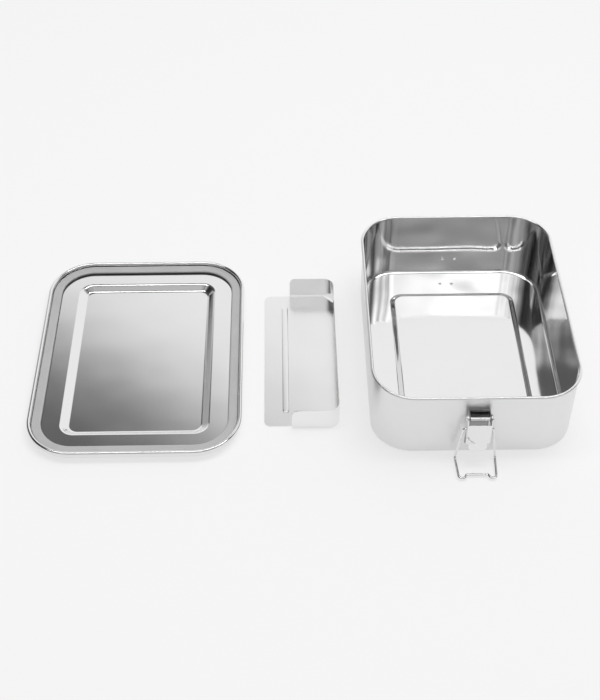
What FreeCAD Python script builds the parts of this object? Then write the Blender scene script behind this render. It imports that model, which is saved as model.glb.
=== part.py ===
import FreeCAD, Part
import math
import os
import Sketcher

# A two-clasp steel lunch box, laid out open: the box, its lid upside down beside it, a loose divider between
# Millimetres, +Z up. The origin is on the ground in the middle of the layout, the front clasp on the -Y wall

Vector = FreeCAD.Vector
Rotation = FreeCAD.Rotation
Placement = FreeCAD.Placement

# Driving sizes of the lunch box
SIZES = {
    # box: outer size over the rolled rim
    "box_width": 155.0,
    "box_length": 207.0,
    "box_height": 60.0,
    "rim_radius": 32.3,
    "rim_bead": 2.4,
    "sheet": 0.7,
    "base_fillet": 3.0,
    # box floor: a panel pressed upwards, so the box stands on its border
    "floor_panel_width": 95.6,
    "floor_panel_length": 136.0,
    "floor_bevel": 3.2,
    "floor_rise": 2.0,
    # pressed panels in the lid and the floor share their corners and bends
    "panel_radius": 7.0,
    "panel_foot_radius": 10.5,
    "press_fillet": 1.4,
    "press_shift": 0.2,
    # lid: how far it stands out past the box rim on each side
    "lid_overhang": 4.0,
    "lid_skirt": 5.8,
    "lid_sheet": 0.6,
    "lid_edge_fillet": 1.8,
    "lid_bead": 3.0,
    "lid_bead_proud": 0.4,
    "lid_panel_width": 102.4,
    "lid_panel_length": 157.6,
    "lid_bevel": 4.8,
    "lid_rise": 4.0,
    # seal ring in the lid
    "gasket_inset": 10.8,
    "gasket_thickness": 2.4,
    "gasket_round": 0.8,
    "gasket_side_gap": 0.1,
    "seal_gap": 0.3,
    # divider: plate, upright foot strip and the two side arms
    "divider_sheet": 0.6,
    "divider_height": 57.5,
    "divider_slit": 1.2,
    "divider_foot": 19.0,
    "divider_bend": 8.6,
    "divider_arm": 36.5,
    "divider_wall_gap": 0.6,
    "divider_corner": 5.0,
    "rib_width": 5.0,
    "rib_rise": 0.8,
    "rib_inset": 16.6,
    "rib_end_gap": 16.0,
    # clasp: places are measured out from the wall and up from the floor
    "pivot_out": 7.0,
    "pivot_up": 44.4,
    "pin_radius": 1.25,
    "pin_head_radius": 1.9,
    "pin_head": 0.9,
    "running_gap": 0.05,
    "side_gap": 0.3,
    "bracket_sheet": 0.8,
    "bracket_width": 15.8,
    "bracket_bottom": 11.0,
    "ear_round": 2.8,
    "ear_drop": 8.0,
    "lever_sheet": 0.8,
    "lever_round": 3.2,
    "lever_depth": 4.0,
    "lever_web_top": 3.2,
    "lever_web_bottom": 22.9,
    "lever_heel": 2.6,
    "lip_width": 14.0,
    "lip_drop": 6.4,
    "lip_flare": 2.5,
    "lip_round": 5.0,
    # wire bail: the eye is measured from the pivot
    "eye_in": 0.4,
    "eye_down": 11.2,
    "wire": 1.9,
    "bail_stub": 1.4,
    "bail_leg_gap": 1.9,
    "bail_leg": 31.2,
    "bail_knee_half": 15.0,
    "bail_hook": 20.6,
    "bail_hook_rise": 0.2,
    "bail_corner_half": 13.8,
    "bail_step_half": 9.6,
    "bail_middle_half": 8.0,
    "bail_setback": 3.2,
    # where the loose pieces lie beside the box
    "lid_away": 255.0,
    "divider_away": 99.0,
    "divider_forward": 1.7,
}

doc = FreeCAD.newDocument("lunch_box")
sheet = doc.addObject("Spreadsheet::Sheet", "Sizes")
for row, (alias, number) in enumerate(SIZES.items(), start=1):
    sheet.set(f"A{row}", alias)
    sheet.set(f"B{row}", str(number))
    sheet.setAlias(f"B{row}", alias)
doc.recompute()


def size(alias):
    """A driving size, as the sheet holds it."""
    return float(sheet.get(alias))


def cell(formula):
    """A formula of sizes, with every alias turned into a reference to the sheet."""
    words = []
    for word in formula.replace("(", " ( ").replace(")", " ) ").split():
        words.append(f"Sizes.{word}" if word in SIZES else word)
    return " ".join(words)


def value(formula):
    """The number that a formula of sizes gives now."""
    words = cell(formula).replace("Sizes.", "").split()
    total = " ".join(str(size(word)) if word in SIZES else word for word in words)
    return float(FreeCAD.Units.Quantity(total).Value)


def new_body(name):
    """An empty body whose label names its file."""
    body = doc.addObject("PartDesign::Body", name)
    body.Label = name
    return body


def origin_plane(body, role):
    """One of the body's own origin planes, such as XY_Plane."""
    return next(item for item in body.Origin.OriginFeatures if item.Role == role)


def new_sketch(body, name, role, offset="0"):
    """A sketch on an origin plane of its body, moved along the plane's normal by a formula."""
    sketch = body.newObject("Sketcher::SketchObject", name)
    sketch.AttachmentSupport = [(origin_plane(body, role), "")]
    sketch.MapMode = "FlatFace"
    sketch.setExpression(".AttachmentOffset.Base.z", cell(offset))
    return sketch


def bind(sketch, kind, *places, formula):
    """Add a dimension to a sketch and tie it to a formula of sizes."""
    index = sketch.addConstraint(Sketcher.Constraint(kind, *places, abs(value(formula))))
    sketch.setExpression(f"Constraints[{index}]", cell(formula))


def rounded_rectangle(sketch, width, length, radius):
    """A rectangle with round corners, centred on the sketch's origin. All three sizes are formulas."""
    wide, long, turn = value(width) / 2, value(length) / 2, value(radius)
    first = sketch.GeometryCount
    corners = [(1, -1), (1, 1), (-1, 1), (-1, -1)]
    starts = [(-1, -1), (1, -1), (1, 1), (-1, 1)]
    for step, ((sx, sy), (ex, ey)) in enumerate(zip(starts, corners)):
        along_x = step % 2 == 0
        if along_x:
            begin = Vector(sx * (wide - turn), sy * long, 0)
            end = Vector(ex * (wide - turn), ey * long, 0)
        else:
            begin = Vector(sx * wide, sy * (long - turn), 0)
            end = Vector(ex * wide, ey * (long - turn), 0)
        sketch.addGeometry(Part.LineSegment(begin, end))
        centre = Vector(ex * (wide - turn), ey * (long - turn), 0)
        circle = Part.Circle(centre, Vector(0, 0, 1), turn)
        quarter = math.pi / 2
        sketch.addGeometry(Part.ArcOfCircle(circle, (step - 1) * quarter, step * quarter))
    lines = [first, first + 2, first + 4, first + 6]
    arcs = [first + 1, first + 3, first + 5, first + 7]
    for line, arc, following in zip(lines, arcs, lines[1:] + lines[:1]):
        sketch.addConstraint(Sketcher.Constraint("Tangent", line, 2, arc, 1))
        sketch.addConstraint(Sketcher.Constraint("Tangent", arc, 2, following, 1))
    for line, direction in zip(lines, ["Horizontal", "Vertical"] * 2):
        sketch.addConstraint(Sketcher.Constraint(direction, line))
    for arc in arcs[1:]:
        sketch.addConstraint(Sketcher.Constraint("Equal", arcs[0], arc))
    sketch.addConstraint(Sketcher.Constraint("Symmetric", arcs[3], 3, arcs[1], 3, -1, 1))
    bind(sketch, "Radius", arcs[0], formula=radius)
    bind(sketch, "DistanceX", lines[3], 1, lines[1], 1, formula=width)
    bind(sketch, "DistanceY", lines[0], 1, lines[2], 1, formula=length)


def polygon(sketch, points):
    """A closed outline whose corners are pairs of formulas, tied to the sketch's origin."""
    spots = [Vector(value(across), value(up), 0) for across, up in points]
    first = sketch.GeometryCount
    count = len(spots)
    for index in range(count):
        sketch.addGeometry(Part.LineSegment(spots[index], spots[(index + 1) % count]))
    for index in range(count):
        following = first + (index + 1) % count
        sketch.addConstraint(Sketcher.Constraint("Coincident", first + index, 2, following, 1))
    for index, (across, up) in enumerate(points):
        place_point(sketch, first + index, 1, across, up)


def place_point(sketch, edge, end, across, up):
    """Tie one point of a sketch to its origin by two formulas."""
    for kind, formula in (("DistanceX", across), ("DistanceY", up)):
        number = value(formula)
        index = sketch.addConstraint(Sketcher.Constraint(kind, -1, 1, edge, end, number))
        sketch.setExpression(f"Constraints[{index}]", cell(formula))


def circle(sketch, across, up, radius):
    """A circle whose centre and radius are formulas."""
    centre = Vector(value(across), value(up), 0)
    edge = sketch.addGeometry(Part.Circle(centre, Vector(0, 0, 1), value(radius)))
    place_point(sketch, edge, 3, across, up)
    bind(sketch, "Radius", edge, formula=radius)


def feature(body, kind, name, profile=None, **formulas):
    """A feature of a body, with each named property tied to a formula of sizes."""
    made = body.newObject(f"PartDesign::{kind}", name)
    if profile is not None:
        made.Profile = profile
    for attribute, formula in formulas.items():
        setattr(made, attribute, value(formula))
        made.setExpression(attribute, cell(formula))
    return made


def edges_where(shape, test):
    """The names of a shape's edges that pass a test on their bounding box."""
    return [f"Edge{number}" for number, edge in enumerate(shape.Edges, start=1) if test(edge.BoundBox)]


def fillet(body, name, base, radius, test):
    """Round the edges of a feature that pass a test."""
    doc.recompute()
    made = feature(body, "Fillet", name, Radius=radius)
    made.Base = (base, edges_where(base.Shape, test))
    doc.recompute()
    return made


def at_height(height, near=0.01):
    """A test for edges that lie flat at one height."""
    return lambda box: abs(box.ZMin - height) < near and abs(box.ZMax - height) < near


def bead(body, name, width, length, radius, thickness, height):
    """A rolled edge: a round section carried along the rim."""
    path = new_sketch(body, f"{name}_path", "XY_Plane", height)
    rounded_rectangle(
        path, f"{width} - {thickness}", f"{length} - {thickness}", f"{radius} - {thickness} / 2"
    )
    section = new_sketch(body, f"{name}_section", "XZ_Plane")
    circle(section, f"( {width} - {thickness} ) / 2", height, f"{thickness} / 2")
    doc.recompute()
    rolled = body.newObject("PartDesign::AdditivePipe", name)
    rolled.Profile = section
    rolled.Spine = (path, [f"Edge{number}" for number in range(1, path.GeometryCount + 1)])
    doc.recompute()
    return rolled


def hollow_out(body, name, width, length, radius, start, depth, upwards, inner_round, floor):
    """Hollow a block from one open face, leaving sheet metal with a round inner corner at its floor."""
    opening = new_sketch(body, f"{name}_opening", "XY_Plane", start)
    rounded_rectangle(opening, width, length, radius)
    pocket = feature(body, "Pocket", name, opening, Length=depth)
    pocket.Reversed = upwards
    doc.recompute()
    return fillet(body, f"{name}_corner", pocket, inner_round, at_height(floor))


def inside_panel(width, length, bevel):
    """A test for edges no further out than the foot of a pressed panel."""
    reach = size(bevel) + size("press_fillet") / 2
    across, along = value(width) / 2 + reach, value(length) / 2 + reach
    return lambda box: max(-box.XMin, box.XMax) < across and max(-box.YMin, box.YMax) < along


def pressed_panel(body, kind, name, width, length, bevel, foot_height, rise):
    """One face of a pressed panel: two rounded rectangles joined by a bevel, with soft bends."""
    foot = new_sketch(body, f"{name}_foot", "XY_Plane", foot_height)
    rounded_rectangle(foot, f"{width} + 2 * {bevel}", f"{length} + 2 * {bevel}", "panel_foot_radius")
    crest = new_sketch(body, f"{name}_crest", "XY_Plane", f"{foot_height} + {rise}")
    rounded_rectangle(crest, width, length, "panel_radius")
    doc.recompute()
    panel = body.newObject(f"PartDesign::{kind}", name)
    panel.Profile = foot
    panel.Sections = [crest]
    panel.Ruled = True
    low, high = value(foot_height), value(f"{foot_height} + {rise}")
    near = inside_panel(width, length, bevel)
    upper = fillet(
        body, f"{name}_crest_bend", panel, "press_fillet", lambda box: at_height(high)(box) and near(box)
    )
    return fillet(
        body, f"{name}_foot_bend", upper, "press_fillet", lambda box: at_height(low)(box) and near(box)
    )


def make_box():
    """The box: a drawn tray with a rolled rim, standing on the border round its raised floor panel."""
    body = new_body("box_shell")
    step = "( rim_bead - sheet )"
    outline = new_sketch(body, "box_outline", "XY_Plane")
    rounded_rectangle(
        outline, f"box_width - 2 * {step}", f"box_length - 2 * {step}", f"rim_radius - {step}"
    )
    feature(body, "Pad", "box_block", outline, Length="box_height - rim_bead / 2")
    hollowed = hollow_out(
        body,
        "box_inside",
        "box_width - 2 * rim_bead",
        "box_length - 2 * rim_bead",
        "rim_radius - rim_bead",
        "box_height - rim_bead / 2",
        "box_height - rim_bead / 2 - sheet",
        False,
        "base_fillet - sheet",
        size("sheet"),
    )
    fillet(body, "base_round", hollowed, "base_fillet", at_height(0))
    width, length = "floor_panel_width", "floor_panel_length"
    pressed_panel(
        body,
        "AdditiveLoft",
        "floor_panel_top",
        f"( {width} + 2 * press_shift )",
        f"( {length} + 2 * press_shift )",
        "floor_bevel",
        "sheet",
        "floor_rise",
    )
    pressed_panel(
        body, "SubtractiveLoft", "floor_panel_under", width, length, "floor_bevel", "0", "floor_rise"
    )
    body.Tip = bead(
        body, "box_rim", "box_width", "box_length", "rim_radius", "rim_bead", "box_height - rim_bead / 2"
    )
    return body


LID_WIDTH = "( box_width + 2 * lid_overhang )"
LID_LENGTH = "( box_length + 2 * lid_overhang )"
LID_RADIUS = "( rim_radius + lid_overhang )"


def make_lid():
    """The lid, built right way up from its free edge: skirt, ring and raised centre panel."""
    body = new_body("lid_shell")
    outline = new_sketch(body, "lid_outline", "XY_Plane", "lid_bead / 2")
    rounded_rectangle(
        outline,
        f"{LID_WIDTH} - 2 * lid_bead_proud",
        f"{LID_LENGTH} - 2 * lid_bead_proud",
        f"{LID_RADIUS} - lid_bead_proud",
    )
    feature(body, "Pad", "lid_block", outline, Length="lid_skirt - lid_bead / 2")
    wall = "( lid_bead_proud + lid_sheet )"
    hollowed = hollow_out(
        body,
        "lid_inside",
        f"{LID_WIDTH} - 2 * {wall}",
        f"{LID_LENGTH} - 2 * {wall}",
        f"{LID_RADIUS} - {wall}",
        "lid_bead / 2",
        "lid_skirt - lid_bead / 2 - lid_sheet",
        True,
        "lid_edge_fillet - lid_sheet",
        value("lid_skirt - lid_sheet"),
    )
    fillet(body, "lid_edge_round", hollowed, "lid_edge_fillet", at_height(size("lid_skirt")))
    width, length = "lid_panel_width", "lid_panel_length"
    pressed_panel(
        body,
        "AdditiveLoft",
        "lid_panel_top",
        f"( {width} + 2 * press_shift )",
        f"( {length} + 2 * press_shift )",
        "lid_bevel",
        "lid_skirt",
        "lid_rise",
    )
    pressed_panel(
        body,
        "SubtractiveLoft",
        "lid_panel_under",
        width,
        length,
        "lid_bevel",
        "lid_skirt - lid_sheet",
        "lid_rise",
    )
    body.Tip = bead(body, "lid_rim", LID_WIDTH, LID_LENGTH, LID_RADIUS, "lid_bead", "lid_bead / 2")
    return body


def make_gasket():
    """The seal: a flat silicone ring under the lid's ring, rounded on the side that meets the box rim."""
    body = new_body("lid_gasket")
    corner = "( lid_bead_proud + lid_edge_fillet + gasket_side_gap )"
    outline = new_sketch(body, "gasket_outline", "XY_Plane", "lid_skirt - lid_sheet - gasket_thickness")
    rounded_rectangle(
        outline, f"{LID_WIDTH} - 2 * {corner}", f"{LID_LENGTH} - 2 * {corner}", f"{LID_RADIUS} - {corner}"
    )
    rounded_rectangle(
        outline,
        f"{LID_WIDTH} - 2 * gasket_inset",
        f"{LID_LENGTH} - 2 * gasket_inset",
        f"{LID_RADIUS} - gasket_inset",
    )
    ring = feature(body, "Pad", "gasket_ring", outline, Length="gasket_thickness")
    under = size("lid_skirt") - size("lid_sheet") - size("gasket_thickness")
    body.Tip = fillet(body, "gasket_lip", ring, "gasket_round", at_height(under))
    return body


def make_divider():
    """The divider, lying on its back: a flat plate, an upright foot along one edge, arms at both ends."""
    body = new_body("divider")
    inside = "( box_width - 2 * rim_bead - 2 * divider_wall_gap )"
    strip = new_sketch(body, "divider_strip", "XY_Plane")
    reach = "( 4 * divider_height )"
    rounded_rectangle(strip, reach, inside, "divider_bend")
    rounded_rectangle(
        strip,
        f"{reach} - 2 * divider_sheet",
        f"{inside} - 2 * divider_sheet",
        "divider_bend - divider_sheet",
    )
    band = feature(body, "Pad", "divider_band", strip, Length="divider_foot")
    trim = new_sketch(body, "divider_trim", "XY_Plane")
    edge = "( 2 * divider_height )"
    polygon(
        trim,
        [
            (f"0 - {reach}", f"0 - {inside}"),
            (f"{edge} - divider_arm", f"0 - {inside}"),
            (f"{edge} - divider_arm", inside),
            (f"0 - {reach}", inside),
        ],
    )
    cut = feature(body, "Pocket", "divider_arms", trim)
    cut.Type = "ThroughAll"
    cut.Reversed = True
    tip = 2 * size("divider_height") - size("divider_arm")
    fillet(
        body,
        "arm_tips",
        cut,
        "divider_corner",
        lambda box: abs(box.XMin - tip) < 0.01 and abs(box.XMax - tip) < 0.01
        and box.ZLength < 0.01 and box.ZMin > size("divider_foot") / 2,
    )
    plate = new_sketch(body, "divider_plate", "XY_Plane")
    half_plate = f"( {inside} / 2 - divider_sheet - divider_slit )"
    polygon(
        plate,
        [
            (f"{edge} - divider_height", f"0 - {half_plate}"),
            (f"{edge} - divider_bend", f"0 - {half_plate}"),
            (f"{edge} - divider_sheet / 2", f"0 - {half_plate} + divider_bend"),
            (f"{edge} - divider_sheet / 2", f"{half_plate} - divider_bend"),
            (f"{edge} - divider_bend", half_plate),
            (f"{edge} - divider_height", half_plate),
        ],
    )
    flat = feature(body, "Pad", "divider_sheet_metal", plate, Length="divider_sheet")
    free = size("divider_height")
    fillet(
        body,
        "plate_corners",
        flat,
        "divider_corner",
        lambda box: abs(box.XMin - free) < 0.01 and abs(box.XMax - free) < 0.01 and box.ZLength > 0.1
        and box.YLength < 0.01,
    )
    rib = new_sketch(body, "rib_outline", "XY_Plane", "divider_sheet / 2")
    rounded_slot(rib, "rib_width", half_plate, edge)
    raised = feature(body, "Pad", "rib_pressing", rib, Length="divider_sheet / 2 + rib_rise")
    fillet(body, "rib_crown", raised, "rib_rise * 0.9", at_height(size("divider_sheet") + size("rib_rise")))
    groove = new_sketch(body, "rib_groove", "XY_Plane")
    rounded_slot(groove, "rib_width - 2 * divider_sheet", half_plate, edge)
    hollow = feature(body, "Pocket", "rib_hollow", groove, Length="rib_rise")
    hollow.Reversed = True
    doc.recompute()
    body.Tip = hollow
    return body


def rounded_slot(sketch, width, half_plate, edge):
    """The rib's outline: a long slot with round ends, parallel to the plate's free edge."""
    across = f"{edge} - divider_height + rib_inset"
    radius = f"( {width} ) / 2"
    reach = f"( {half_plate} - rib_end_gap )"
    centre, half, turn = value(across), value(reach), value(radius)
    for side, begin in ((1, 0), (-1, math.pi)):
        ring = Part.Circle(Vector(centre, side * half, 0), Vector(0, 0, 1), turn)
        sketch.addGeometry(Part.ArcOfCircle(ring, begin, begin + math.pi))
    for side in (-1, 1):
        begin = Vector(centre + side * turn, -side * half, 0)
        sketch.addGeometry(Part.LineSegment(begin, Vector(centre + side * turn, side * half, 0)))
    for arc, line, following in ((0, 2, 1), (1, 3, 0)):
        sketch.addConstraint(Sketcher.Constraint("Tangent", arc, 2, line, 1))
        sketch.addConstraint(Sketcher.Constraint("Tangent", line, 2, following, 1))
    bind(sketch, "Radius", 0, formula=radius)
    place_point(sketch, 0, 3, across, reach)
    place_point(sketch, 1, 3, across, f"0 - {reach}")


def mirrored(body, name, original):
    """A copy of a feature on the other side of the body's middle plane."""
    copy = body.newObject("PartDesign::Mirrored", name)
    copy.Originals = [original]
    copy.MirrorPlane = (origin_plane(body, "YZ_Plane"), [""])
    body.Tip = copy
    doc.recompute()
    return copy


def make_bracket(name):
    """A channel welded to the wall: a back plate with two ears that carry the pin."""
    body = new_body(name)
    plate = new_sketch(body, f"{name}_plate", "XZ_Plane")
    top = "( pivot_up + ear_round )"
    polygon(
        plate,
        [
            ("0 - bracket_width / 2", "bracket_bottom"),
            ("bracket_width / 2", "bracket_bottom"),
            ("bracket_width / 2", top),
            ("0 - bracket_width / 2", top),
        ],
    )
    feature(body, "Pad", f"{name}_back", plate, Length="bracket_sheet")
    side = new_sketch(body, f"{name}_side", "YZ_Plane", "bracket_width / 2 - bracket_sheet")
    ear_outline(side)
    circle(side, "0 - pivot_out", "pivot_up", "pin_radius")
    ear = feature(body, "Pad", f"{name}_ear", side, Length="bracket_sheet")
    doc.recompute()
    mirrored(body, f"{name}_other_ear", ear)
    return body


def ear_outline(sketch):
    """An ear: flat on the wall, round about the pin and sloping back to the wall below it."""
    out, up, turn = size("pivot_out"), size("pivot_up"), size("ear_round")
    drop = size("ear_drop")
    sketch.addGeometry(Part.LineSegment(Vector(0, up + turn, 0), Vector(-out, up + turn, 0)))
    ring = Part.Circle(Vector(-out, up, 0), Vector(0, 0, 1), turn)
    sketch.addGeometry(Part.ArcOfCircle(ring, math.pi / 2, 3 * math.pi / 2))
    sketch.addGeometry(Part.LineSegment(Vector(-out, up - turn, 0), Vector(0, up - drop, 0)))
    sketch.addGeometry(Part.LineSegment(Vector(0, up - drop, 0), Vector(0, up + turn, 0)))
    sketch.addConstraint(Sketcher.Constraint("Coincident", 0, 2, 1, 1))
    sketch.addConstraint(Sketcher.Constraint("Coincident", 1, 2, 2, 1))
    sketch.addConstraint(Sketcher.Constraint("Coincident", 2, 2, 3, 1))
    sketch.addConstraint(Sketcher.Constraint("Coincident", 3, 2, 0, 1))
    place_point(sketch, 0, 1, "0", "pivot_up + ear_round")
    place_point(sketch, 1, 3, "0 - pivot_out", "pivot_up")
    place_point(sketch, 1, 1, "0 - pivot_out", "pivot_up + ear_round")
    sketch.addConstraint(Sketcher.Constraint("Vertical", 1, 1, 1, 2))
    place_point(sketch, 2, 2, "0", "pivot_up - ear_drop")


LEVER_HALF = "( bracket_width / 2 + side_gap + lever_sheet )"


def make_pin(name):
    """The pivot pin, turned with a low head at each end, lying along X through its own origin."""
    body = new_body(name)
    profile = new_sketch(body, f"{name}_profile", "XY_Plane")
    neck = f"( {LEVER_HALF} + side_gap )"
    end = f"( {neck} + pin_head )"
    polygon(
        profile,
        [
            (f"0 - {end}", "0"),
            (end, "0"),
            (end, "pin_radius"),
            (f"{end} - pin_head / 2", "pin_head_radius"),
            (neck, "pin_head_radius"),
            (neck, "pin_radius"),
            (f"0 - {neck}", "pin_radius"),
            (f"0 - {neck}", "pin_head_radius"),
            (f"0 - {end} + pin_head / 2", "pin_head_radius"),
            (f"0 - {end}", "pin_radius"),
        ],
    )
    turned = feature(body, "Revolution", f"{name}_turned", profile)
    turned.ReferenceAxis = (profile, ["H_Axis"])
    turned.Angle = 360.0
    doc.recompute()
    body.Tip = turned
    return body


def make_lever(name):
    """The lever: a folded channel hanging from the pin, its face outwards, with a thumb lip at the end."""
    body = new_body(name)
    face = new_sketch(body, f"{name}_face", "YZ_Plane")
    inner = "0 - lever_depth + lever_sheet"
    polygon(
        face,
        [
            ("0 - lever_depth", "0 - lever_web_bottom"),
            (inner, "0 - lever_web_bottom"),
            (inner, "0 - lever_web_top"),
            ("0 - lever_depth", "0 - lever_web_top"),
        ],
    )
    web = feature(body, "Pad", f"{name}_web", face, Length=f"2 * {LEVER_HALF}")
    web.Midplane = True
    side = new_sketch(body, f"{name}_side", "YZ_Plane", f"{LEVER_HALF} - lever_sheet")
    flange_outline(side)
    circle(side, "0", "0", "pin_radius + running_gap")
    circle(side, "eye_in", "0 - eye_down", "wire / 2 + running_gap")
    flange = feature(body, "Pad", f"{name}_flange", side, Length="lever_sheet")
    doc.recompute()
    mirrored(body, f"{name}_other_flange", flange)
    lip = new_sketch(body, f"{name}_lip_profile", "YZ_Plane")
    polygon(
        lip,
        [
            ("0 - lever_depth", "0 - lever_web_bottom"),
            (inner, "0 - lever_web_bottom"),
            (f"{inner} - lip_flare", "0 - lever_web_bottom - lip_drop"),
            (
                "0 - lever_depth - lip_flare",
                "0 - lever_web_bottom - lip_drop + lever_sheet * lip_flare / lip_drop",
            ),
        ],
    )
    thumb = feature(body, "Pad", f"{name}_lip", lip, Length="lip_width")
    thumb.Midplane = True
    end = -size("lever_web_bottom") - size("lip_drop")
    rounded = fillet(
        body,
        f"{name}_lip_round",
        thumb,
        "lip_round",
        lambda box: box.ZMax < end + size("lever_sheet") and box.XLength < 0.01,
    )
    body.Tip = rounded
    return body


def flange_outline(sketch):
    """A lever flange: round about the pin, deep past the bail's eye, then narrowing to the web's end."""
    turn, depth = size("lever_round"), size("lever_depth")
    top, bottom = size("lever_web_top"), size("lever_web_bottom")
    heel, waist = size("lever_heel"), size("eye_down") + size("wire")
    ring = Part.Circle(Vector(0, 0, 0), Vector(0, 0, 1), turn)
    sketch.addGeometry(Part.ArcOfCircle(ring, 0, math.pi))
    spots = [(-turn, 0), (-depth, -top), (-depth, -bottom), (-heel, -bottom), (turn, -waist), (turn, 0)]
    for (ax, ay), (bx, by) in zip(spots, spots[1:]):
        sketch.addGeometry(Part.LineSegment(Vector(ax, ay, 0), Vector(bx, by, 0)))
    for edge in range(len(spots) - 1):
        sketch.addConstraint(Sketcher.Constraint("Coincident", edge, 2, edge + 1, 1))
    sketch.addConstraint(Sketcher.Constraint("Coincident", len(spots) - 1, 2, 0, 1))
    place_point(sketch, 0, 3, "0", "0")
    place_point(sketch, 0, 1, "lever_round", "0")
    sketch.addConstraint(Sketcher.Constraint("Horizontal", 0, 1, 0, 2))
    place_point(sketch, 1, 2, "0 - lever_depth", "0 - lever_web_top")
    place_point(sketch, 2, 2, "0 - lever_depth", "0 - lever_web_bottom")
    place_point(sketch, 3, 2, "0 - lever_heel", "0 - lever_web_bottom")
    place_point(sketch, 4, 2, "lever_round", "0 - eye_down - wire")


def round_bent_wire(corners, radii):
    """A wire path through corners, with a tangent arc of the given radius at each inner corner."""
    edges = []
    start = corners[0]
    for before, corner, after, radius in zip(corners, corners[1:], corners[2:], radii):
        back = (before - corner).normalize()
        ahead = (after - corner).normalize()
        half_turn = back.getAngle(ahead) / 2
        reach = radius / math.tan(half_turn)
        middle = (back + ahead).normalize()
        centre = corner + middle * (radius / math.sin(half_turn))
        arc_start = corner + back * reach
        arc_end = corner + ahead * reach
        arc_middle = centre - middle * radius
        edges.append(Part.LineSegment(start, arc_start).toShape())
        edges.append(Part.Arc(arc_start, arc_middle, arc_end).toShape())
        start = arc_end
    edges.append(Part.LineSegment(start, corners[-1]).toShape())
    return Part.Wire(edges)


def make_bail(name):
    """The bail: one bent wire, hanging from its eyes, with its hook turned outwards at the knee."""
    lever_half = value(LEVER_HALF)
    stub = lever_half - size("bail_stub")
    shoulder = lever_half + size("bail_leg_gap")
    leg, hook, rise = size("bail_leg"), size("bail_hook"), size("bail_hook_rise")
    end_height = rise - leg
    setback = size("bail_setback")
    right = [
        Vector(stub, 0, 0),
        Vector(shoulder, 0, 0),
        Vector(size("bail_knee_half"), 0, -leg),
        Vector(size("bail_corner_half"), -hook, end_height),
        Vector(size("bail_step_half"), -hook, end_height),
        Vector(size("bail_middle_half"), setback - hook, end_height),
    ]
    left = [Vector(-spot.x, spot.y, spot.z) for spot in reversed(right)]
    wire = size("wire")
    bends = [0.85 * wire, 1.6 * wire, 1.4 * wire, 0.7 * wire, 0.7 * wire]
    path = round_bent_wire(right + left, bends + bends[::-1])
    section = Part.Wire(Part.Circle(right[0], Vector(1, 0, 0), wire / 2).toShape())
    solid = path.makePipeShell([section], True, False)
    item = doc.addObject("Part::Feature", name)
    item.Label = name
    item.Shape = solid
    expected = math.pi * wire**2 / 4 * path.Length
    print(f"{name}: wire {path.Length:.1f} long, volume {solid.Volume:.1f}, expected {expected:.1f}")
    return item


# The box stands this far right of the middle of the whole layout
BOX_X = value(f"( lid_away + {LID_WIDTH} / 2 - box_width / 2 ) / 2")


def place(item, x, y, z, turn=Rotation()):
    """Put a finished piece where it lies, with x measured from the middle of the box."""
    item.Placement = Placement(Vector(BOX_X + x, y, z), turn)
    return item


def make_clasp(side, direction):
    """The four pieces of one clasp. Direction is -1 on the front wall and 1 on the rear wall."""
    turn = Rotation(Vector(0, 0, 1), 0 if direction < 0 else 180)
    wall = size("box_length") / 2 - (size("rim_bead") - size("sheet"))
    pivot_y = direction * (wall + size("pivot_out"))
    eye_y = pivot_y - direction * size("eye_in")
    eye_z = size("pivot_up") - size("eye_down")
    return [
        place(make_bracket(f"{side}_clasp_bracket"), 0, direction * wall, 0, turn),
        place(make_pin(f"{side}_clasp_pin"), 0, pivot_y, size("pivot_up"), turn),
        place(make_lever(f"{side}_clasp_lever"), 0, pivot_y, size("pivot_up"), turn),
        place(make_bail(f"{side}_clasp_bail"), 0, eye_y, eye_z, turn),
    ]


# Build every piece and put it where it lies
upside_down = Rotation(Vector(0, 1, 0), 180)
lid_depth = size("lid_skirt") + size("lid_rise")
pieces = [
    place(make_box(), 0, 0, 0),
    place(make_lid(), -size("lid_away"), 0, lid_depth, upside_down),
    place(make_gasket(), -size("lid_away"), 0, lid_depth, upside_down),
    place(make_divider(), -size("divider_away") - 2 * size("divider_height"), -size("divider_forward"), 0),
]
pieces += make_clasp("front", -1)
pieces += make_clasp("rear", 1)
doc.recompute()

# Nothing is written unless every object is sound
for item in doc.Objects:
    if "Invalid" in item.State or "Error" in item.State:
        raise RuntimeError(f"{item.Label} failed: {item.State}")
for piece in pieces:
    if piece.Shape.isNull() or not piece.Shape.isValid() or len(piece.Shape.Solids) != 1:
        raise RuntimeError(f"{piece.Label} has no valid shape")

os.makedirs("parts", exist_ok=True)
for piece in pieces:
    piece.Shape.exportStep(os.path.join("parts", f"{piece.Label}.step"))
    box = piece.Shape.BoundBox
    print(
        f"{piece.Label}: {len(piece.Shape.Solids)} solid, volume {piece.Shape.Volume:.1f},"
        f" x {box.XMin:.2f} to {box.XMax:.2f}, y {box.YMin:.2f} to {box.YMax:.2f},"
        f" z {box.ZMin:.2f} to {box.ZMax:.2f}"
    )

closed_height = value("box_height + seal_gap + lid_sheet + gasket_thickness + lid_rise")
print(f"closed height {closed_height:.2f}")
print(f"lid turns about x {BOX_X - size('lid_away') / 2:.3f}, z {closed_height / 2:.3f}")
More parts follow.
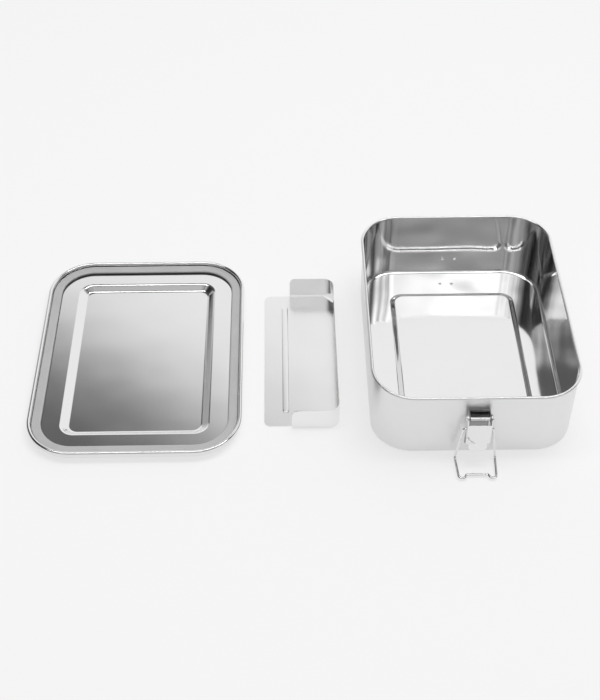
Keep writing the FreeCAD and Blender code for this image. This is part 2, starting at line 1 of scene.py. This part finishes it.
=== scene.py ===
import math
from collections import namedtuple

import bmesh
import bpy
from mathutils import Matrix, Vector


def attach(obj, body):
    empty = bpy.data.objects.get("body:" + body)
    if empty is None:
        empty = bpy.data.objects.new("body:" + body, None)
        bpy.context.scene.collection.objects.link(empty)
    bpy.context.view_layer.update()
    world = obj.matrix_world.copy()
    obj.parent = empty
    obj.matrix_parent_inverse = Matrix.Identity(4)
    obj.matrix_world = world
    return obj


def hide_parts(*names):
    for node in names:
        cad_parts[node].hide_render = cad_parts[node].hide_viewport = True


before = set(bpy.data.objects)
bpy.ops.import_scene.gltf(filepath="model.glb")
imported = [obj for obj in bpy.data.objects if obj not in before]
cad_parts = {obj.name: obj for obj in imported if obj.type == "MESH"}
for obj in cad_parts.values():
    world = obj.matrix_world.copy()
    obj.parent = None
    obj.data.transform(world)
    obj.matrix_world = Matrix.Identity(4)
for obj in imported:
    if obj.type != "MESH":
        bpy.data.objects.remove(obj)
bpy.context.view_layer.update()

# %% [markdown]
# # A steel lunch box, laid open
# The box, its lid and a loose divider lie on a pale table. Everything but the seal is stainless sheet or
# wire, so the picture is made almost entirely of reflections, and evenly flowing surfaces matter more
# than colour. The construction model arrives as loose triangles, which break a reflection at every edge.
# So the three pieces that are pressed or moulded are modelled again as smooth meshes, and the small
# folded ones are welded copies.

MM = 0.001


def finish_mesh(name, bm, smooth=True):
    """Turn a bmesh into an object at the origin, with outward normals."""
    bmesh.ops.recalc_face_normals(bm, faces=bm.faces)
    mesh = bpy.data.meshes.new(name)
    bm.to_mesh(mesh)
    bm.free()
    mesh.polygons.foreach_set("use_smooth", [smooth] * len(mesh.polygons))
    made = bpy.data.objects.new(name, mesh)
    bpy.context.collection.objects.link(made)
    print(f"{name}: {len(mesh.polygons)} faces")
    return made


# %% [markdown]
# ## One profile, carried round a rounded rectangle
# A press draws the box and the lid from flat sheet, so at every height they are a rounded rectangle. They
# could be bevelled cubes, hollowed out, but then faces crowd together in the corners and the reflections
# pinch there. Here a wall is a list of stops. A stop is an outline (half width, half length and corner
# radius) with a height, and its reach says how far before and after the stop the bend is rounded. Lengths
# are in millimetres until a piece is put in its place.

# %% Stops of a profile
Outline = namedtuple("Outline", "half_x half_y radius")
Stop = namedtuple("Stop", "half_x half_y radius height reach")
BEND_STEPS = 8
LONGEST_REACH = 0.49


def stop_at(outline, height, inset=0.0, reach=0.0):
    """An outline at one height, drawn in on all sides."""
    return Stop(outline.half_x - inset, outline.half_y - inset, outline.radius - inset, height, reach)


def soften(profile):
    """Replace each stop that has a reach by a short curve, up to about half of the way to the next stop."""
    smooth = []
    for index, stop in enumerate(profile):
        here = Vector(stop[:4])
        if not stop.reach:
            smooth.append(here)
            continue
        ends = []
        for neighbour in (profile[index - 1], profile[index + 1]):
            run = Vector(neighbour[:4]) - here
            ends.append(here + run * min(LONGEST_REACH, stop.reach / math.hypot(run[0], run[3])))
        for step in range(BEND_STEPS + 1):
            part = step / BEND_STEPS
            smooth.append(ends[0].lerp(here, part).lerp(here.lerp(ends[1], part), part))
    return smooth


# %% [markdown]
# ## Two shapes that return
# Box and lid both have a raised panel with a sloping border, which stiffens the flat sheet, and both end
# in an edge rolled into a bead, so that no cut edge can scratch. Written once as functions, the two
# shapes give their stops to any profile.

# %% Panel and rolled edge
PANEL_CREST_RADIUS = 7.0
PANEL_FOOT_RADIUS = 10.5


def pressed_panel(middle, half_x, half_y, bevel, border, rise, reach):
    """The stops of a raised panel, from its flat middle down to the border round it."""
    crest = Outline(half_x - bevel, half_y - bevel, PANEL_CREST_RADIUS)
    foot = Outline(half_x, half_y, PANEL_FOOT_RADIUS)
    return [
        stop_at(middle, border + rise),
        stop_at(crest, border + rise, reach=reach),
        stop_at(foot, border, reach=reach),
    ]


def rolled_edge(outline, bead, height, begin, end, steps):
    """The stops round a bead with a round section. The outline is its outermost line."""
    stops = []
    for step in range(steps + 1):
        angle = math.radians(begin + (end - begin) * step / steps)
        inset = bead / 2 * (1 - math.cos(angle))
        stops.append(stop_at(outline, height + bead / 2 * math.sin(angle), inset))
    return stops


# %% [markdown]
# ## From stops to a sheet
# The mesh starts as one loop of edges. Extruding the loop and moving its new points to the next stop
# draws the wall, just as the press pulls the sheet. The operator gives its new points in no fixed order,
# so each one is found again by the edge that ties it to the loop before.

# %% Loops of edges
CORNER_STEPS = 20
QUARTERS = ((1, 1), (-1, 1), (-1, -1), (1, -1))


def around(stop):
    """The points of one rounded rectangle."""
    half_x, half_y, radius, height = stop
    spots = []
    for quarter, (side_x, side_y) in enumerate(QUARTERS):
        for step in range(CORNER_STEPS + 1):
            angle = math.pi / 2 * (quarter + step / CORNER_STEPS)
            x = side_x * (half_x - radius) + radius * math.cos(angle)
            y = side_y * (half_y - radius) + radius * math.sin(angle)
            spots.append(Vector((x, y, height)))
    return spots


def place_loop(loop, stop):
    """Move the points of a loop onto one stop."""
    for vert, spot in zip(loop, around(stop)):
        vert.co = spot


def loop_edges(bm, loop):
    """The edges that join the points of one closed loop."""
    return [bm.edges.get(pair) for pair in zip(loop, loop[1:] + loop[:1])]


def pull_loop(bm, loop):
    """Extrude a loop of edges, and give the new points in the order of the old ones."""
    made = set(bmesh.ops.extrude_edge_only(bm, edges=loop_edges(bm, loop))["geom"])
    fresh = []
    for vert in loop:
        partners = [edge.other_vert(vert) for edge in vert.link_edges]
        fresh += [partner for partner in partners if partner in made]
    return fresh


# %% [markdown]
# ## Drawing, closing and placing
# A sheet is closed by one flat face at each end of its profile, in the middle of the panel. A face can
# carry the first or the second finish of its piece. The shading of a narrow bend would bleed into the
# wide flats beside it, and a Weighted Normal modifier stops that by letting the larger faces decide.

# %% Sheets
FIRST_FINISH = 0
SECOND_FINISH = 1


def give_second_finish(verts):
    """Mark all the faces at some points for the second finish."""
    for face in {face for vert in verts for face in vert.link_faces}:
        face.material_index = SECOND_FINISH


def draw_sheet(profile, second_from=math.inf):
    """Pull one loop of edges through a profile. Gives the mesh with its first and its last loop."""
    stops = soften(profile)
    bm = bmesh.new()
    first = bmesh.ops.create_circle(bm, segments=len(QUARTERS) * (CORNER_STEPS + 1), radius=1)["verts"]
    place_loop(first, stops[0])
    loop = first
    for number, stop in enumerate(stops[1:], start=1):
        loop = pull_loop(bm, loop)
        place_loop(loop, stop)
        if number > second_from:
            give_second_finish(loop)
    return bm, first, loop


def cap(bm, loop, finish=FIRST_FINISH):
    """Close a loop with one flat face."""
    bmesh.ops.edgeloop_fill(bm, edges=loop_edges(bm, loop), mat_nr=finish)


def settle(bm, matrix):
    """Carry a mesh from its own millimetres to its place in the scene, in metres."""
    bmesh.ops.transform(bm, matrix=Matrix.Scale(MM, 4) @ matrix, verts=bm.verts)


def keep_flats_flat(item):
    """Let large flat faces decide the shading next to narrow bends."""
    weighted = item.modifiers.new("flat faces first", "WEIGHTED_NORMAL")
    weighted.mode = "FACE_AREA"
    weighted.weight = 100


# %% [markdown]
# ## The box: its profile
# The box is drawn deep from thin sheet. A panel of its floor is pressed upwards, so it stands on the
# border round the panel, and the wall ends in a rolled rim. The profile runs from the middle of the
# underside outwards, up the outside, over the rim and down the inside. A Solidify modifier could give the
# sheet its thickness, but it would make both faces alike. Here the inner face leans outwards by a degree,
# which decides what the wall mirrors. On the slope of the panel, the upper face lies a small step further
# out than the lower one.

# %% Box profile
BOX_HEIGHT = 60.0
BOX_SHEET = 0.7
RIM = Outline(77.5, 103.5, 32.3)
RIM_BEAD = 2.4
OUTER_WALL_TOP = 57.4
INNER_WALL_TOP = 56.0
INNER_LEAN = 1.0
WALL_BEND = 3.0
FLOOR_MIDDLE = Outline(40.0, 60.0, 6.0)
FLOOR_PANEL_X = 51.0
FLOOR_PANEL_Y = 71.2
FLOOR_BEVEL = 3.2
FLOOR_RISE = 2.0
FLOOR_BEND = 0.9
SLOPE_STEP = 0.2

floor_under = pressed_panel(FLOOR_MIDDLE, FLOOR_PANEL_X, FLOOR_PANEL_Y, FLOOR_BEVEL,
                            0.0, FLOOR_RISE, FLOOR_BEND)
floor_over = pressed_panel(FLOOR_MIDDLE, FLOOR_PANEL_X + SLOPE_STEP, FLOOR_PANEL_Y + SLOPE_STEP, FLOOR_BEVEL,
                           BOX_SHEET, FLOOR_RISE, FLOOR_BEND)
box_outside = floor_under + [
    stop_at(RIM, 0.0, RIM_BEAD - BOX_SHEET, WALL_BEND),
    stop_at(RIM, OUTER_WALL_TOP, RIM_BEAD - BOX_SHEET),
]
box_outside += rolled_edge(RIM, RIM_BEAD, BOX_HEIGHT - RIM_BEAD / 2, begin=-112, end=180, steps=20)
box_inside = [
    stop_at(RIM, INNER_WALL_TOP, RIM_BEAD),
    stop_at(RIM, BOX_SHEET, RIM_BEAD + INNER_LEAN, WALL_BEND - BOX_SHEET),
] + floor_over[::-1]
print(f"box profile: {len(box_outside)} stops outside, {len(box_inside)} inside")

# %% [markdown]
# ## The box: its sheet
# The inside is close to a mirror and the outside is duller. Both are faces of one sheet, so they stay one
# mesh with two finishes, and the change lies where it shows least, on the inner side of the rolled rim.
# Each clasp is held by two spot welds, which leave low round marks on the inner wall. Flattened spheres
# set into the wall give them a real edge that catches the light.

# %% Box shell
BOX_X = 129.5
POLISHED_RIM_STOPS = 6
WELD_ACROSS = 5.2
WELD_Y = 100.4
WELD_HEIGHT = 15.0
WELD_RADIUS = 1.5
WELD_RISE = 0.25

polished_from = len(soften(box_outside)) - POLISHED_RIM_STOPS
box_mesh, underside, inside_floor = draw_sheet(box_outside + box_inside, polished_from)
cap(box_mesh, underside)
cap(box_mesh, inside_floor, SECOND_FINISH)
for wall in (-WELD_Y, WELD_Y):
    for across in (-WELD_ACROSS, WELD_ACROSS):
        flattened = Matrix.Diagonal((WELD_RADIUS, WELD_RISE, WELD_RADIUS, 1.0))
        spot = Matrix.Translation((across, wall, WELD_HEIGHT)) @ flattened
        mark = bmesh.ops.create_uvsphere(box_mesh, u_segments=20, v_segments=12, radius=1.0, matrix=spot)
        give_second_finish(mark["verts"])
settle(box_mesh, Matrix.Translation((BOX_X, 0, 0)))
box_shell = finish_mesh("box_sheet", box_mesh)
keep_flats_flat(box_shell)
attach(box_shell, "box")
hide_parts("box_shell")

# %% [markdown]
# ## The lid
# The lid is a shallow pressing with its own raised panel, a short skirt and a rolled free edge. It
# reaches a little past the rim on all sides. It could be modelled as it lies, on its back, but a profile
# is easier to follow the right way up. So it is drawn that way and turned over at the end about its long
# axis, as a hand would turn it.

# %% Lid shell
LID_X = -125.5
LID_DEPTH = 9.8
LID_SHEET = 0.6
LID_EDGE = Outline(81.5, 107.5, 36.3)
LID_BEAD = 3.0
SKIRT_INSET = 0.4
LID_MIDDLE = Outline(43.0, 71.0, 6.0)
LID_PANEL_X = 56.0
LID_PANEL_Y = 83.6
LID_BEVEL = 4.8
LID_RISE = 4.0
LID_BEND = 1.2

border_over = LID_DEPTH - LID_RISE
border_under = border_over - LID_SHEET
lid_under = pressed_panel(LID_MIDDLE, LID_PANEL_X, LID_PANEL_Y, LID_BEVEL, border_under, LID_RISE, LID_BEND)
lid_over = pressed_panel(LID_MIDDLE, LID_PANEL_X + SLOPE_STEP, LID_PANEL_Y + SLOPE_STEP, LID_BEVEL,
                         border_over, LID_RISE, LID_BEND)
lid_profile = lid_under + [stop_at(LID_EDGE, border_under, SKIRT_INSET + LID_SHEET, LID_BEND)]
lid_profile += rolled_edge(LID_EDGE, LID_BEAD, LID_BEAD / 2, begin=70, end=402, steps=28)
lid_profile += [stop_at(LID_EDGE, border_over, SKIRT_INSET, LID_BEND + LID_SHEET)] + lid_over[::-1]

lid_mesh, lid_inside, lid_top = draw_sheet(lid_profile)
cap(lid_mesh, lid_inside)
cap(lid_mesh, lid_top)
turned_over = Matrix.Translation((LID_X, 0, LID_DEPTH)) @ Matrix.Rotation(math.pi, 4, "Y")
settle(lid_mesh, turned_over)
lid_shell = finish_mesh("lid_pressing", lid_mesh)
keep_flats_flat(lid_shell)
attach(lid_shell, "lid")
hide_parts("lid_shell")

# %% [markdown]
# ## The seal
# A flat silicone ring sits inside the lid's border and closes on the rim of the box. Its exposed edges
# are rounded, as a moulded ring's are. A bent curve with a bevel could make such a ring too, but the same
# profile tools keep it exactly parallel to the lid. Its last loop is bridged back to the first, which
# closes the section.

# %% Gasket
SEAL_INSET = 3.3
SEAL_WIDTH = 7.5
SEAL_THICKNESS = 2.4
SEAL_SLOPE = 0.4
SEAL_OUTER_BEND = 1.0
SEAL_INNER_BEND = 1.3

seal_face = border_under - SEAL_THICKNESS
gasket_profile = [
    stop_at(LID_EDGE, border_under, SEAL_INSET),
    stop_at(LID_EDGE, seal_face, SEAL_INSET, SEAL_OUTER_BEND),
    stop_at(LID_EDGE, seal_face, SEAL_INSET + SEAL_WIDTH - SEAL_SLOPE, SEAL_INNER_BEND),
    stop_at(LID_EDGE, border_under, SEAL_INSET + SEAL_WIDTH),
]
gasket_mesh, outer_seat, inner_seat = draw_sheet(gasket_profile)
seat_edges = loop_edges(gasket_mesh, outer_seat) + loop_edges(gasket_mesh, inner_seat)
bmesh.ops.bridge_loops(gasket_mesh, edges=seat_edges)
settle(gasket_mesh, turned_over)
gasket = finish_mesh("seal_ring", gasket_mesh)
keep_flats_flat(gasket)
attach(gasket, "lid")
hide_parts("lid_gasket")

# %% [markdown]
# ## Folded sheet and bent wire
# The divider and the clasps are already exact in the construction model, so drawing them again would only
# add mistakes. Their meshes arrive as separate triangles, and a bright reflection would break at every
# one. Each is copied and its points are welded, so the shading runs smoothly over gentle bends while true
# corners stay crisp. A stamped piece has no knife edges either, so the brackets and levers get a narrow
# bevel.

# %% Welded copies
CRISP = math.radians(35)
FLAT = math.radians(0.5)
MERGE_DISTANCE = 2e-6


def welded_copy(node, body, edge_round=0.0):
    """A smooth-shaded copy of one node of the construction model. Its sharp edges can be eased."""
    source = bpy.data.objects[node]
    bm = bmesh.new()
    bm.from_mesh(source.data)
    bmesh.ops.transform(bm, matrix=source.matrix_world, verts=bm.verts)
    bmesh.ops.remove_doubles(bm, verts=bm.verts, dist=MERGE_DISTANCE)
    if edge_round:
        bmesh.ops.dissolve_limit(bm, angle_limit=FLAT, verts=bm.verts, edges=bm.edges)
        sharp = [edge for edge in bm.edges if edge.calc_face_angle(0) > CRISP]
        bmesh.ops.bevel(bm, geom=sharp, offset=edge_round * MM, segments=2, profile=0.5,
                        affect="EDGES", material=-1)
    for edge in bm.edges:
        edge.smooth = len(edge.link_faces) == 2 and edge.calc_face_angle(math.pi) < CRISP
    made = finish_mesh(f"{node}_smooth", bm)
    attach(made, body)
    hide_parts(node)
    return made


# %% [markdown]
# ## The divider and the two clasps
# The divider is one bent strip. A clasp has a bracket and a pin on the box, a lever that turns on the
# pin, and a wire that turns in the lever. Each piece rides on its own body, so it follows when the joint
# moves.

# %% Divider and clasps
BRACKET_EDGE = 0.15
LEVER_EDGE = 0.2

divider = welded_copy("divider", "divider")
clasps = []
for side in ("front", "rear"):
    clasps.append({
        "bracket": welded_copy(f"{side}_clasp_bracket", "box", BRACKET_EDGE),
        "pin": welded_copy(f"{side}_clasp_pin", "box"),
        "lever": welded_copy(f"{side}_clasp_lever", f"{side}_lever", LEVER_EDGE),
        "bail": welded_copy(f"{side}_clasp_bail", f"{side}_bail"),
    })

# %% [markdown]
# ## Node helpers
# Every finish and the room itself is a small tree of shader nodes. Three helpers keep the trees readable:
# one adds a node with its inputs filled in, one writes a neutral grey, because nothing in this scene has
# a hue, and one lays greys along a ramp.

# %% Nodes and greys


def add_node(tree, kind, values=None, **options):
    """Add one shader node, with some of its options and inputs set."""
    node = tree.nodes.new(f"ShaderNode{kind}")
    for option, choice in options.items():
        setattr(node, option, choice)
    for socket, value in (values or {}).items():
        node.inputs[socket].default_value = value
    return node


def grey(tone):
    """A neutral colour."""
    return (tone, tone, tone, 1)


def tone_ramp(tree, stops):
    """A colour ramp through some places and greys."""
    ramp = add_node(tree, "ValToRGB")
    elements = ramp.color_ramp.elements
    for element, (place, tone) in zip(elements, stops):
        element.position = place
        element.color = grey(tone)
    for place, tone in stops[len(elements):]:
        elements.new(place).color = grey(tone)
    return ramp


# %% [markdown]
# ## Steel
# All the steel shares one recipe: a metal whose roughness and tone wander a little, with a faint grain
# from the rollers. Wide sheet is never quite flat either, so a slow wave bends its reflections. A painted
# texture could show all this, but noise in object space needs no picture, has no seams and moves with the
# piece.

# %% Steel recipe
DARK_SHARE = 0.96
GRAIN_DEPTH = 0.0002
GRAIN_LENGTHWAYS = (900, 60, 900)
GRAIN_CROSSWAYS = (60, 900, 900)


def steel(name, tone, rough, wander, grain, buckle=0.0, grain_scale=GRAIN_LENGTHWAYS):
    """Stainless sheet or wire: a metal with uneven roughness, a faint grain and perhaps a slight buckle."""
    material = bpy.data.materials.new(name)
    material.use_nodes = True
    tree = material.node_tree
    link = tree.links.new
    shader = tree.nodes["Principled BSDF"]
    shader.inputs["Metallic"].default_value = 1.0
    place = add_node(tree, "TexCoord").outputs["Object"]
    cloud = add_node(tree, "TexNoise", {"Scale": 28, "Detail": 4})
    link(place, cloud.inputs["Vector"])
    spread = add_node(tree, "MapRange", {"To Min": rough - wander, "To Max": rough + wander})
    link(cloud.outputs["Fac"], spread.inputs["Value"])
    link(spread.outputs["Result"], shader.inputs["Roughness"])
    tint = tone_ramp(tree, [(0.0, tone * DARK_SHARE), (1.0, tone)])
    link(cloud.outputs["Fac"], tint.inputs["Fac"])
    link(tint.outputs["Color"], shader.inputs["Base Color"])
    stretch = add_node(tree, "Mapping", {"Scale": grain_scale})
    link(place, stretch.inputs["Vector"])
    lines = add_node(tree, "TexNoise", {"Scale": 1, "Detail": 3})
    link(stretch.outputs["Vector"], lines.inputs["Vector"])
    bump = add_node(tree, "Bump", {"Strength": grain, "Distance": GRAIN_DEPTH})
    link(lines.outputs["Fac"], bump.inputs["Height"])
    link(bump.outputs["Normal"], shader.inputs["Normal"])
    if buckle:
        waves = add_node(tree, "TexNoise", {"Scale": 18, "Detail": 1})
        link(place, waves.inputs["Vector"])
        swell = add_node(tree, "Bump", {"Strength": 1.0, "Distance": buckle})
        link(waves.outputs["Fac"], swell.inputs["Height"])
        link(swell.outputs["Normal"], bump.inputs["Normal"])
    print(f"{name}: tone {tone}, roughness {rough}")
    return material


# %% [markdown]
# ## Silicone
# The seal is matt grey with a very soft mottling. Where it meets the steel, light hardly gets into the
# crease. The crease is too narrow for the lamps to darken it enough, so the colour itself falls off
# towards the foot.

# %% Silicone recipe
CREASE_LOW = 5.4
CREASE_HIGH = 6.6
CREASE_TONE = 0.12
SEAL_TONES = [(0.0, 0.37), (1.0, 0.43)]
SEAL_ROUGHNESS = 0.55


def silicone(name):
    """Matt grey silicone, darker at its foot."""
    material = bpy.data.materials.new(name)
    material.use_nodes = True
    tree = material.node_tree
    link = tree.links.new
    shader = tree.nodes["Principled BSDF"]
    shader.inputs["Roughness"].default_value = SEAL_ROUGHNESS
    place = add_node(tree, "TexCoord").outputs["Object"]
    cloud = add_node(tree, "TexNoise", {"Scale": 60})
    link(place, cloud.inputs["Vector"])
    tint = tone_ramp(tree, SEAL_TONES)
    link(cloud.outputs["Fac"], tint.inputs["Fac"])
    height = add_node(tree, "SeparateXYZ")
    link(place, height.inputs["Vector"])
    crease = add_node(tree, "MapRange", {
        "From Min": CREASE_LOW * MM, "From Max": CREASE_HIGH * MM, "To Min": CREASE_TONE})
    link(height.outputs["Z"], crease.inputs["Value"])
    shade = add_node(tree, "MixRGB", {"Fac": 1.0}, blend_type="MULTIPLY")
    link(tint.outputs["Color"], shade.inputs["Color1"])
    link(crease.outputs["Result"], shade.inputs["Color2"])
    link(shade.outputs["Color"], shader.inputs["Base Color"])
    print(name)
    return material


# %% [markdown]
# ## Which finish goes where
# The inside of the box is close to a mirror, the lid is satin and the divider duller still, with its
# grain running across. The outside of the box blurs the room most. The bracket's darker tone is painted
# shade and painted dark reflection, since it stands in the shade of its own lever. The wire is the smoothest
# of all.

# %% Finishes
mirror_steel = steel("mirror steel", tone=0.84, rough=0.08, wander=0.02, grain=0.001, buckle=0.001)
outer_steel = steel("outer steel", tone=0.83, rough=0.33, wander=0.02, grain=0.002, buckle=0.0004)
satin_steel = steel("satin steel", tone=0.82, rough=0.12, wander=0.02, grain=0.02, buckle=0.00015)
divider_steel = steel("divider steel", tone=0.92, rough=0.22, wander=0.03, grain=0.03, buckle=0.0003,
                      grain_scale=GRAIN_CROSSWAYS)
# The bracket's low tone is painted shade and painted dark reflection, not a darker steel.
shaded_bracket_steel = steel("bracket steel with painted shade", tone=0.30, rough=0.16, wander=0.02, grain=0.005)
clasp_steel = steel("clasp steel", tone=0.84, rough=0.12, wander=0.02, grain=0.005)
bright_wire = steel("bright wire", tone=0.84, rough=0.05, wander=0.015, grain=0.002)

box_shell.data.materials.append(outer_steel)
box_shell.data.materials.append(mirror_steel)
lid_shell.data.materials.append(satin_steel)
gasket.data.materials.append(silicone("grey silicone"))
divider.data.materials.append(divider_steel)
for clasp in clasps:
    clasp["bracket"].data.materials.append(shaded_bracket_steel)
    clasp["pin"].data.materials.append(bright_wire)
    clasp["lever"].data.materials.append(clasp_steel)
    clasp["bail"].data.materials.append(bright_wire)

# %% [markdown]
# ## The table
# A photographer's table is a sheet of pale paper. A plain white plane turns grey where the lamps are
# weak, and more light would burn out the steel. So most of its tone is given as a glow of its own, for
# the camera and for what the steel mirrors, and the rest is a matt surface that still takes the shadows.

# %% Table
TABLE_HALF = 12.0
TABLE_DROP = 0.0002
PAPER_TONE = 0.9
PAPER_ROUGHNESS = 0.9
GLOW_SHARE = 0.75
GLOW_TONE = 0.885

floor_mesh = bmesh.new()
bmesh.ops.create_grid(floor_mesh, x_segments=1, y_segments=1, size=TABLE_HALF)
floor = finish_mesh("table", floor_mesh, smooth=False)
floor.location.z = -TABLE_DROP
paper = bpy.data.materials.new("pale table")
paper.use_nodes = True
tree = paper.node_tree
link = tree.links.new
matt = tree.nodes["Principled BSDF"]
matt.inputs["Base Color"].default_value = grey(PAPER_TONE)
matt.inputs["Roughness"].default_value = PAPER_ROUGHNESS
matt.inputs["Specular IOR Level"].default_value = 0.0
path = add_node(tree, "LightPath")
looked_at = path.outputs["Is Camera Ray"]
for ray in ("Is Glossy Ray", "Is Transmission Ray"):
    either = add_node(tree, "Math", operation="MAXIMUM")
    link(looked_at, either.inputs[0])
    link(path.outputs[ray], either.inputs[1])
    looked_at = either.outputs["Value"]
share = add_node(tree, "Math", {1: GLOW_SHARE}, operation="MULTIPLY")
link(looked_at, share.inputs[0])
glow = add_node(tree, "Emission", {"Color": grey(GLOW_TONE)})
blend = add_node(tree, "MixShader")
link(share.outputs["Value"], blend.inputs["Fac"])
link(matt.outputs["BSDF"], blend.inputs[1])
link(glow.outputs["Emission"], blend.inputs[2])
link(blend.outputs["Shader"], tree.nodes["Material Output"].inputs["Surface"])
floor.data.materials.append(paper)

# %% [markdown]
# ## The room: back and front
# Steel shows the room, so the room is drawn with care. It could be a photograph wrapped round the scene,
# but a few ramps on the direction of view do as well, and each can be explained. The back wall is bright
# up to about 45 degrees, and its dark upper part hangs lower on the left. The front is dim low down and
# again overhead, with a pale band of ceiling between. Blurred patches, like furniture out of focus, break
# up the front. Each pair of numbers is a height, as the sine of the angle above the table, and the
# brightness there.

# %% Room, back and front
BACK_TONES = [(0.732, 1.0), (0.81, 0.12)]
BACK_LEAN = -0.5
FRONT_TONES = [(0.65, 0.38), (0.70, 1.4), (0.77, 1.4), (0.82, 0.42)]

world = bpy.data.worlds.new("room")
bpy.context.scene.world = world
world.use_nodes = True
room = world.node_tree
link = room.links.new
way = add_node(room, "TexCoord").outputs["Generated"]
split = add_node(room, "SeparateXYZ")
link(way, split.inputs["Vector"])

lean = add_node(room, "Math", {1: BACK_LEAN}, operation="MULTIPLY_ADD")
link(split.outputs["X"], lean.inputs[0])
link(split.outputs["Z"], lean.inputs[2])
back_wall = tone_ramp(room, BACK_TONES)
link(lean.outputs["Value"], back_wall.inputs["Fac"])

front_wall = tone_ramp(room, FRONT_TONES)
link(split.outputs["Z"], front_wall.inputs["Fac"])
for wall in (back_wall, front_wall):
    wall.color_ramp.interpolation = "EASE"

clutter = add_node(room, "TexNoise", {"Scale": 5, "Detail": 2})
link(way, clutter.inputs["Vector"])
patches = add_node(room, "MapRange", {"From Min": 0.36, "From Max": 0.64, "To Min": 0.45, "To Max": 1.35})
link(clutter.outputs["Fac"], patches.inputs["Value"])
patchy = add_node(room, "MixRGB", {"Fac": 1.0}, blend_type="MULTIPLY")
link(front_wall.outputs["Color"], patchy.inputs["Color1"])
link(patches.outputs["Result"], patchy.inputs["Color2"])
print("room walls:", back_wall.name, "and", front_wall.name)

# %% [markdown]
# ## The room: sides
# The two halves meet softly at the sides. A dark screen stands on the left and on the right, as
# photographers place black card beside polished metal, because a dark line is what draws a round corner.
# The left screen reaches further round to the back. Looked at directly, the room is pale and plain, like
# the table.

# %% Room, sides
BACKDROP_TONE = 0.8

sides = add_node(room, "MapRange", {"From Min": -0.2, "From Max": 0.2})
link(split.outputs["Y"], sides.inputs["Value"])
halves = add_node(room, "MixRGB")
link(sides.outputs["Result"], halves.inputs["Fac"])
link(patchy.outputs["Color"], halves.inputs["Color1"])
link(back_wall.outputs["Color"], halves.inputs["Color2"])

sideways = add_node(room, "Math", operation="ABSOLUTE")
link(split.outputs["Y"], sideways.inputs[0])
screens = add_node(room, "MapRange", {"From Min": 0.06, "From Max": 0.30, "To Min": 0.12})
link(sideways.outputs["Value"], screens.inputs["Value"])
left_reach = add_node(room, "MapRange", {"From Min": -0.65, "From Max": -0.40, "To Min": 0.42})
link(split.outputs["X"], left_reach.inputs["Value"])
both = add_node(room, "Math", operation="MULTIPLY")
link(screens.outputs["Result"], both.inputs[0])
link(left_reach.outputs["Result"], both.inputs[1])
shaded = add_node(room, "MixRGB", {"Fac": 1.0}, blend_type="MULTIPLY")
link(halves.outputs["Color"], shaded.inputs["Color1"])
link(both.outputs["Value"], shaded.inputs["Color2"])

plain = add_node(room, "MixRGB", {"Color2": grey(BACKDROP_TONE)})
link(add_node(room, "LightPath").outputs["Is Camera Ray"], plain.inputs["Fac"])
link(shaded.outputs["Color"], plain.inputs["Color1"])
backing = room.nodes["Background"]
link(plain.outputs["Color"], backing.inputs["Color"])
backing.inputs["Strength"].default_value = 1.0
print(f"room: {len(room.nodes)} nodes")

# %% [markdown]
# ## Two lamps
# One lamp would have to be broad to light the table softly, and narrow to draw a fine line along the
# bends of the steel. So there are two. The broad one stays out of the reflections, and the steel shows
# only the narrow strip.

# %% Lamps


def soft_light(name, place, target, width, depth, power):
    """An oblong lamp aimed at a point."""
    lamp = bpy.data.lights.new(name, "AREA")
    lamp.shape = "RECTANGLE"
    lamp.size = width
    lamp.size_y = depth
    lamp.energy = power
    item = bpy.data.objects.new(name, lamp)
    bpy.context.collection.objects.link(item)
    item.location = place
    item.rotation_euler = (Vector(target) - Vector(place)).to_track_quat("-Z", "Y").to_euler()
    print(f"{name}: {width} x {depth} m, {power} W")
    return item


broad = soft_light("broad lamp", (0.42, 0.15, 2.0), (0.0, 0.0, 0.0), width=1.4, depth=1.4, power=20)
broad.visible_glossy = False
soft_light("strip lamp", (0.0, 0.1, 2.0), (0.0, 0.1, 0.0), width=2.4, depth=0.25, power=16)

# %% [markdown]
# ## The camera
# The picture looks down at 45 degrees through a short telephoto, about a metre away. Its place and its
# lens were fitted to the outlines in the picture. The focal length comes out in pixels of the picture,
# and the width of the sensor turns it into the millimetres that Blender asks for.

# %% Camera
PICTURE_WIDTH = 600
FOCAL_PIXELS = 1283.8
SENSOR = 36.0
LOOK_DOWN = 45.01
LOOK_RIGHT = 0.95
CAMERA_PLACE = (-0.0106, -0.7251, 0.7333)

camera = bpy.data.cameras.new("camera")
camera.sensor_fit = "HORIZONTAL"
camera.sensor_width = SENSOR
camera.lens = FOCAL_PIXELS / PICTURE_WIDTH * SENSOR
camera.clip_start = 0.01
viewer = bpy.data.objects.new("camera", camera)
bpy.context.collection.objects.link(viewer)
viewer.location = CAMERA_PLACE
viewer.rotation_euler = (math.radians(90 - LOOK_DOWN), 0, math.radians(-LOOK_RIGHT))
bpy.context.scene.camera = viewer
bpy.context.scene.view_settings.view_transform = "Standard"
print(f"lens: {camera.lens:.1f} mm")
